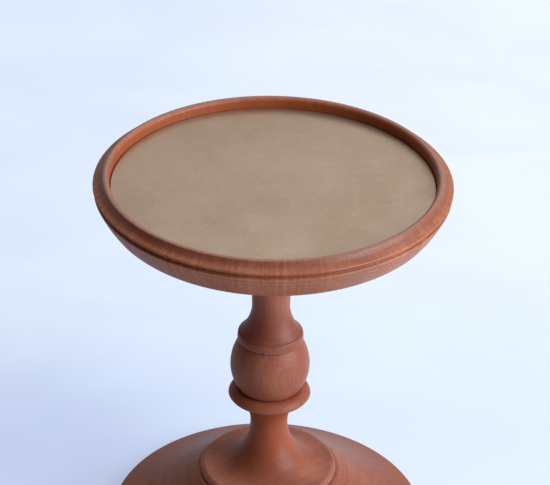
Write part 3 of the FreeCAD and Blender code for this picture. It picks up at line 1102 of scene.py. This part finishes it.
@dataclass(frozen=True)
class Baluster:
    """The stem: tenon, flared foot, neck, ring, bulb, band, upper neck, collar and tenon."""

    side: tuple[Row, ...] = (
        ("foot's undercut", 23.3, 0.0, 0.15),
        ("foot", 23.85, 0.8, 0.19),
        ("foot's edge", 22.1, 1.7, -0.109),
        ("foot's dish", 10.9, 5.4, -0.089),
        ("neck", 6.5, 12.3, -0.1),
        ("ring's cove", 10.8, 10.4, 0.18),
        ("ring", 14.33, 1.5, 0.21),
        ("ring's top", 10.45, 2.45, 0.084),
        ("bulb", 13.75, 9.4, 0.071),
        ("bulb's top", 10.9, 9.75, 0.0),
        ("quirk", 10.55, 0.25, 0.0),
        ("band's underside", 11.08, 0.25, 0.1),
        ("band", 11.38, 0.35, 0.02),
        ("band's face", 11.26, 2.15, 0.12),
        ("band's shoulder", 10.43, 0.85, -0.077),
        ("upper neck", 6.53, 9.3, -0.034),
        ("taper", 9.73, 24.0, -0.104),
        ("collar's flare", 17.03, 9.0, 0.08),
        ("collar", 17.63, 1.3, 0.12),
        ("collar's top", 17.23, 0.8, 0.0),
    )
    tenon_chamfer: float = 0.6
    chip_angle_deg: float = -105.5   # a small bruise in the band, left of the middle as one faces it
    chip_radius: float = 11.38
    chip_height: float = 79.55
    chip_width: float = 0.55
    chip_depth: float = 0.4
    segments: int = 224

    def outline(self) -> list[Step]:
        """Return the whole outline, from the axis in the foot's hole to the axis in the top hole."""
        low_bore, top_bore = (screw.radius + FITS.screw_gap for screw in (FOOT_SCREW, TRAY_SCREW))
        low_tenon, low_length = FITS.foot_tenon
        top_tenon, top_length = FITS.top_tenon
        low_end, top_end = FITS.stem_seat - low_length, FITS.tray_seat + top_length
        past = FITS.screw_head_sink + FITS.screw_end_gap
        low_depth = FITS.felt_thickness + FOOT_SCREW.length + past
        top_depth = FITS.dish_floor - TRAY_SCREW.length - past
        cut = self.tenon_chamfer
        lower = [(0, low_depth, 0), (low_bore, low_depth, 0), (low_bore, low_end, 0),
                 (low_tenon - cut, low_end, 0), (low_tenon, low_end + cut, 0),
                 (low_tenon, FITS.stem_seat, 0)]
        upper = [(top_tenon, FITS.tray_seat, 0), (top_tenon, top_end - cut, 0),
                 (top_tenon - cut, top_end, 0), (top_bore, top_end, 0), (top_bore, top_depth, 0),
                 (0, top_depth, 0)]
        return lower + climb(FITS.stem_seat, self.side) + upper

    def _bruise(self, place: Vector) -> Vector:
        """Return how far the bruise in the band pushes a place in."""
        angle = math.radians(self.chip_angle_deg)
        out = Vector((math.cos(angle), math.sin(angle), 0))
        away = (place - out * self.chip_radius - Vector((0, 0, self.chip_height))).length / self.chip_width
        if away > 2.5:
            return Vector()
        return (Vector((0, 0, 0.35)) - out) * self.chip_depth * math.exp(-away * away)

    def build(self, lathe: Lathe, wood: Material) -> None:
        """Build the stem and bruise its band."""
        samples = trace(self.outline(), False, Tracing(arc_step=0.5))
        stem = lathe.turn("turned_stem", samples, self.segments, wood)
        move_vertices(stem, self._bruise)
        seat(stem, "stem")


@dataclass(frozen=True)
class TrayAssembly:
    """The moulded dish, its brass plate, the film under the plate and the screw under that."""

    side: tuple[Row, ...] = (
        ("underside", 48.0, 0.0, 0.1),
        ("lower moulding", 55.1, 3.6, 0.028),
        ("upper moulding", 59.62, 7.75, 0.14),
        ("moulding's top", 59.3, 0.45, -0.08),
        ("groove", 58.7, 0.4, -0.08),
        ("rim's lip", 59.4, 1.0, 0.12),
        ("rim", 60.0, 0.45, 0.12),
        ("rim's slope", 59.65, 0.45, -0.11),
        ("crest", 56.7, 2.5, 0.06),
        ("crest's inner edge", 56.0, 0.17, 0.2),
        ("wall", 54.5, -1.1, 0.0),
    )
    plate_lift: float = 0.2          # thickness of the film under the plate
    plate_thickness: float = 1.0
    plate_edge_break: float = 0.15
    plate_ring_step: float = 1.4     # spacing of the rings that let the sheet be a little uneven
    plate_unevenness: float = 0.045
    plate_wave: float = 21.0         # length of the unevenness
    segments: int = 320

    @property
    def plate_top(self) -> float:
        """Height of the plate's top face."""
        return FITS.dish_floor + self.plate_lift + self.plate_thickness

    def tray_outline(self) -> list[Step]:
        """Return the dish's outline: mouldings, rim, floor, screw hole and mortise."""
        radius, length = FITS.top_tenon
        mortise = radius + FITS.glue_gap
        roof = FITS.tray_seat + length + FITS.mortise_end_gap
        return (climb(FITS.tray_seat, self.side) + [(self.side[-1][1], FITS.dish_floor, 0)]
                + TRAY_SCREW.hole(FITS.dish_floor, -1, roof)
                + [(mortise, roof, 0), (mortise, FITS.tray_seat, 0)])

    def plate_outline(self) -> list[Step]:
        """Return the plate's outline, with rings across its top face."""
        radius = self.side[-1][1] - FITS.plate_gap
        bottom, top = FITS.dish_floor + self.plate_lift, self.plate_top
        rim = radius - self.plate_edge_break
        rings = int(rim / self.plate_ring_step)
        face = [(rim * (rings - ring) / rings, top, 0) for ring in range(rings + 1)]
        return [(0, bottom, 0), (radius, bottom, 0), (radius, top - self.plate_edge_break, 0)] + face

    def _unevenness(self, place: Vector) -> Vector:
        """Return how far the sheet dips at a place on its top face."""
        if place.z < self.plate_top - self.plate_edge_break / 2:
            return Vector()
        wave = noise.noise(place / self.plate_wave) + 0.4 * noise.noise(place / self.plate_wave * 2.7)
        return Vector((0, 0, -self.plate_unevenness * (0.5 + 0.5 * wave)))

    def build(self, lathe: Lathe, wood: Material, brass: Material, steel: Material,
              adhesive: Material) -> None:
        """Build the dish, the plate and the screw, each from its finish, and dress the film."""
        samples = trace(self.tray_outline(), True, Tracing())
        seat(lathe.turn("turned_tray", samples, self.segments, wood), "top_tray")
        samples = trace(self.plate_outline(), False, Tracing(easing=0.05))
        plate = lathe.turn("plate", samples, self.segments, brass)
        move_vertices(plate, self._unevenness)
        seat(plate, "brass_plate")
        head = FITS.dish_floor - FITS.screw_head_sink
        seat(TRAY_SCREW.build("top_screw", lathe, steel, head, points_up=False), "tray_screw")
        dress(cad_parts["plate_adhesive"], adhesive)


# The studio


@dataclass(frozen=True)
class Lamp:
    """One soft lamp. Its place is in metres from the middle of the stand."""

    name: str
    azimuth_deg: float               # 0 is behind the camera, 90 is to the right
    elevation_deg: float
    distance: float
    size: float
    power: float
    colour: str


@dataclass(frozen=True)
class Studio:
    """Pale floor, soft lamps, pale surroundings, and the camera at the photographed angle."""

    photo_width: int = 550
    photo_height: int = 485
    focal_px: float = 2600.0
    elevation_deg: float = 29.17
    roll_deg: float = 1.06
    target_px: tuple[float, float] = (273.3, 183.4)
    target_height: float = 140.0                    # the point on the axis that falls on target_px
    distance: float = 864.7
    sensor: float = 36.0
    clip: tuple[float, float] = (0.01, 50.0)        # metres
    floor_size: float = 6.0
    pale: str = "#EEF4FE"            # the cloth on the window's side, in its light
    pale_shaded_side: str = "#DDE8FA"        # and on the side away from the window, painted darker: painted shade
    pale_near: str = "#DEECFF"       # and on the side towards the camera
    mottle: float = 0.035            # how much the cloth's soft folds change its brightness
    mottle_scale: Triple = (1 / 75.0, 1.6 / 75.0, 0.0)       # folds in a millimetre, across and back
    mottle_turn: float = 20.0
    glow: float = 1.17               # brightness of the cloth where it is looked at
    floor_tint: str = "#E4EEFA"
    shadow_share: float = 0.45       # how much of the floor's colour is lit rather than given
    turn_width: float = 300.0        # over which the cloth goes from the lit tint to the painted shade
    fold: Triple = (-85.0, 35.0, 0.0)    # middle of the stand's painted shadow, low on the left of the cloth
    painted_shadow_reach: tuple[float, float] = (20.0, 120.0)
    painted_shadow_share: float = 0.9
    painted_shadow_tint: str = "#CBD9FF"
    near_reach: tuple[float, float] = (40.0, 240.0)
    depth_reach: tuple[float, float] = (40.0, 460.0)         # over which the cloth comes into more light
    depth_gain: float = 1.08
    mirrored_shares: tuple[float, float] = (0.45, 1.33)     # the cloth in the polish, left and right: painted shade makes it darker on the left, away from the window
    mirrored_width: float = 160.0
    fill_strength: float = 0.125     # what the world adds to the lamps' light
    fill_tint: str = "#FFF0E8"
    backdrop_share: float = 0.5      # brightness of the pale cloth behind, as polish mirrors it
    room_share: float = 0.08         # the same for the unlit room on the other sides
    backdrop_edge: float = 0.8       # sine of the angle from the sides at which the cloth is full
    middle_height: float = 90.0
    lamps: tuple[Lamp, ...] = (
        Lamp("window", 67.0, 26.0, 1.1, 1.0, 19.5, "#E7F0FF"),
        Lamp("ceiling", 0.0, 85.0, 1.3, 1.2, 2.4, "#F2F7FF"),
        Lamp("backdrop", 160.0, 50.0, 1.3, 1.2, 4.5, "#E9F2FF"),
    )

    def camera(self) -> None:
        """Create the camera and make it the scene's own."""
        tilt, roll = math.radians(self.elevation_deg), math.radians(self.roll_deg)
        forward, right = Vector((0, math.cos(tilt), -math.sin(tilt))), Vector((1, 0, 0))
        level = Matrix((right, forward.cross(right), forward))
        aim = Vector(((self.target_px[0] - self.photo_width / 2) / self.focal_px,
                      (self.target_px[1] - self.photo_height / 2) / self.focal_px, 1)).normalized()
        pan = Vector((0, 0, 1)).rotation_difference(aim).to_matrix()
        rows = pan @ Matrix.Rotation(roll, 3, "Z") @ level
        eye = Vector((0, 0, self.target_height * MM)) - forward * self.distance * MM
        turned = Matrix((rows[0], -rows[1], -rows[2])).transposed()
        data = bpy.data.cameras.new("camera")
        data.sensor_width = self.sensor
        data.lens = self.sensor * self.focal_px / self.photo_width
        data.clip_start, data.clip_end = self.clip
        camera = new_object("camera", data)
        camera.matrix_world = Matrix.Translation(eye) @ turned.to_4x4()
        bpy.context.scene.camera = camera

    def seen_directly(self, bench: Bench) -> Socket:
        """Return one for rays that look, reflect or pass straight at a surface, and zero for light."""
        rays = bench.rays()
        looked = bench.math("MAXIMUM", rays["Is Camera Ray"], rays["Is Glossy Ray"])
        return bench.math("MAXIMUM", looked, rays["Is Transmission Ray"])

    def surroundings(self) -> None:
        """Light the world softly, and let it look pale."""
        world = bpy.data.worlds.new("pale_room")
        world.use_nodes = True
        world.node_tree.nodes.clear()
        bench = Bench(world.node_tree)
        behind = bench.apart(bench.add("ShaderNodeTexCoord", out="Generated"))["Y"]
        mirrored = bench.fade(behind, 0.0, self.backdrop_edge, self.room_share, self.backdrop_share)
        shown = bench.choice(bench.rays()["Is Camera Ray"], mirrored, 1.0)
        seen = self.seen_directly(bench)
        glow = bench.add("ShaderNodeBackground", {
            "Color": bench.blend(seen, self.fill_tint, self.pale),
            "Strength": bench.choice(seen, self.fill_strength, shown)})
        bench.node("ShaderNodeOutputWorld", {"Surface": glow})
        bpy.context.scene.world = world

    def cloth_glow(self, bench: Bench) -> tuple[Socket, Socket]:
        """Return the tint and the brightness that the cloth is given where it is looked at, with painted
        shade and the stand's painted shadow.
        """
        here = bench.here()
        across, back, _ = bench.apart(here)
        # the stand's painted shadow darkens and blues the cloth round one spot
        away = bench.vector("DISTANCE", here, self.fold, out="Value")
        in_light = bench.fade(away, *self.painted_shadow_reach)
        # painted shade: the cloth is bluer and darker on the side away from the window
        tint = bench.blend(bench.fade(across, -self.turn_width / 2, self.turn_width / 2), self.pale_shaded_side,
                           self.pale)
        tint = bench.blend(bench.fade(back, *self.near_reach), self.pale_near, tint)
        tint = bench.blend(in_light, self.painted_shadow_tint, tint)
        folds = bench.cloud(bench.mapped(here, self.mottle_scale, (0.0, 0.0, self.mottle_turn)), 3.0,
                            distortion=0.4, noise_dimensions="2D")
        # painted shade: in reflections the cloth is darker on the left
        side = bench.fade(across, -self.mirrored_width / 2, self.mirrored_width / 2, *self.mirrored_shares)
        shade = bench.fade(away, *self.painted_shadow_reach, self.painted_shadow_share * self.glow, self.glow)
        for share in (bench.fade(back, *self.depth_reach, 1.0, self.depth_gain),
                      bench.fade(folds, 0.25, 0.75, 1.0 - self.mottle, 1.0 + self.mottle),
                      bench.choice(bench.rays()["Is Glossy Ray"], 1.0, side)):
            shade = bench.times(shade, share)
        return tint, shade

    def floor(self) -> None:
        """Lay the pale floor, which keeps the stand's shadow."""
        half = self.floor_size / 2
        mesh = bpy.data.meshes.new("floor")
        mesh.from_pydata([(-half, -half, 0), (half, -half, 0), (half, half, 0), (-half, half, 0)], [],
                         [(0, 1, 2, 3)])
        material = bpy.data.materials.new("pale_floor")
        material.use_nodes = True
        material.node_tree.nodes.clear()
        bench = Bench(material.node_tree)
        lit = bench.add("ShaderNodeBsdfDiffuse", {"Color": linear(self.floor_tint)})
        tint, shade = self.cloth_glow(bench)
        given = bench.add("ShaderNodeEmission", {"Color": tint, "Strength": shade})
        looked = bench.times(self.seen_directly(bench), 1 - self.shadow_share)
        surface = bench.add("ShaderNodeMixShader", {0: looked, 1: lit, 2: given})
        bench.node("ShaderNodeOutputMaterial", {"Surface": surface})
        mesh.materials.append(material)
        floor = new_object("floor", mesh)

    def light(self) -> None:
        """Hang the lamps, each aimed at the middle of the stand."""
        middle = Vector((0, 0, self.middle_height * MM))
        for lamp in self.lamps:
            round_, up = math.radians(lamp.azimuth_deg), math.radians(lamp.elevation_deg)
            back = Vector((math.sin(round_) * math.cos(up), -math.cos(round_) * math.cos(up), math.sin(up)))
            data = bpy.data.lights.new(lamp.name, "AREA")
            data.shape, data.size, data.energy = "DISK", lamp.size, lamp.power
            data.color = linear(lamp.colour)[:3]
            holder = new_object(lamp.name, data)
            holder.location = middle + back * lamp.distance
            holder.rotation_euler = (-back).to_track_quat("-Z", "Y").to_euler()

    def build(self) -> None:
        """Set up the whole studio."""
        self.camera()
        self.surroundings()
        self.floor()
        self.light()
        bpy.context.scene.view_settings.view_transform = "Standard"


def main() -> None:
    """Build the studio and the stand, from the table up."""
    logging.basicConfig(level=logging.INFO, format="%(name)s: %(message)s")
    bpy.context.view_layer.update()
    Studio().build()
    lathe = Lathe()
    spindle_wood = OiledHardwood(mottle=1.15, streak=0.42, fibre_width=0.9, turning=0.12, stains=(
        # painted bounce light in the lower neck
        Stain(6.5, 47.0, (7.0, 18.0), 0.55, BOUNCE_LIGHT_WOOD),
        # a redder, darker ring round the foot's dish
        Stain(12.5, 34.0, (2.0, 7.5), 0.35, REDDER_DARKER_WOOD),
        # painted shade round the band and the bulb's top
        Stain(11.5, 82.5, (1.5, 5.0), 0.22, PAINTED_SHADE_WOOD),
        # painted shade in the upper neck's cove, under the tray
        Stain(9.0, 89.0, (3.0, 9.5), 0.3, PAINTED_SHADE_WOOD))).material()
    base_wood = OiledHardwood(
        name="oiled_hardwood_base", grain=Grain.ACROSS, fleck=Grain.ACROSS, pith=(12.0, 0.0, 64.0),
        pore_strength=0.12).material()
    tray_wood = OiledHardwood(
        name="oiled_hardwood_tray", heartwood="#954F2C", sapwood="#B86F49", worn="#B2744F", gloss=0.45,
        wax=0.1, pith=(96.0, -140.0, 0.0), fibre_width=0.8, streak=0.7, shiver=0.8, pore_strength=0.25,
        turning=0.4, stains=(
            # painted bounce light low on the dish's inner wall
            Stain(54.7, 140.6, (1.6, 3.6), 0.75, BOUNCE_LIGHT_WOOD),
            # painted shade in the hollow below the crest
            Stain(57.5, 142.8, (0.6, 1.9), 0.42, PAINTED_SHADE_WOOD),
            # rubbed wear on the crest, with a painted sheen
            Stain(55.8, 143.8, (0.4, 0.95), 0.4, WORN_AND_SHEEN_WOOD))).material()
    brass = DulledBrass().material()
    steel = ZincPlate().material()
    felt = PressedFelt().material()
    adhesive = ContactAdhesive().material()
    BaseAssembly().build(lathe, base_wood, felt, steel)
    Baluster().build(lathe, spindle_wood)
    TrayAssembly().build(lathe, tray_wood, brass, steel, adhesive)


if __name__ == "__main__":
    main()
